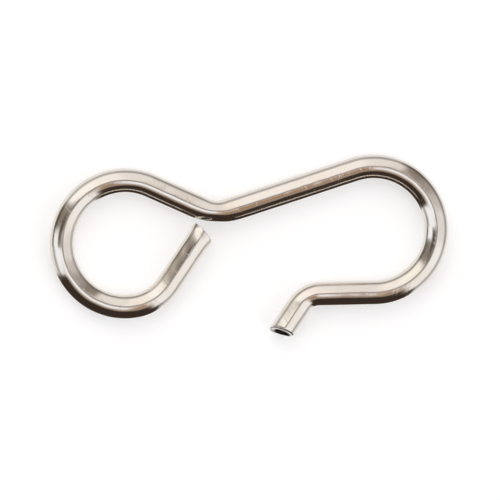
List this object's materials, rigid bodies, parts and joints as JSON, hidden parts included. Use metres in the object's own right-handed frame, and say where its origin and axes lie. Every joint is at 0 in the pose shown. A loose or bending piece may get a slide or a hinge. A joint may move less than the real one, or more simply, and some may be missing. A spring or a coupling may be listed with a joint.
{
  "type": "curtain hook",
  "caption": "Bent round-wire curtain hook with a nearly closed eye, a pinched neck, a straight shank and a round open bow that ends in a flared tail.",
  "frame": {"origin": "centre of the eye, in the plane of the wire's centre line", "axes": "+X from the eye to the bow along the hook, +Y to the side of the straight shank, +Z square to the plane of the bent wire; as stored the hook lies flat"},
  "size_m": [0.0246, 0.0109, 0.0014],
  "materials": {
    "nickel_plate": "bright nickel plate on drawn steel wire, slightly warm, with fine draw lines"
  },
  "bodies": {
    "root": {"hook_wire": "nickel_plate"}
  },
  "joints": []
}
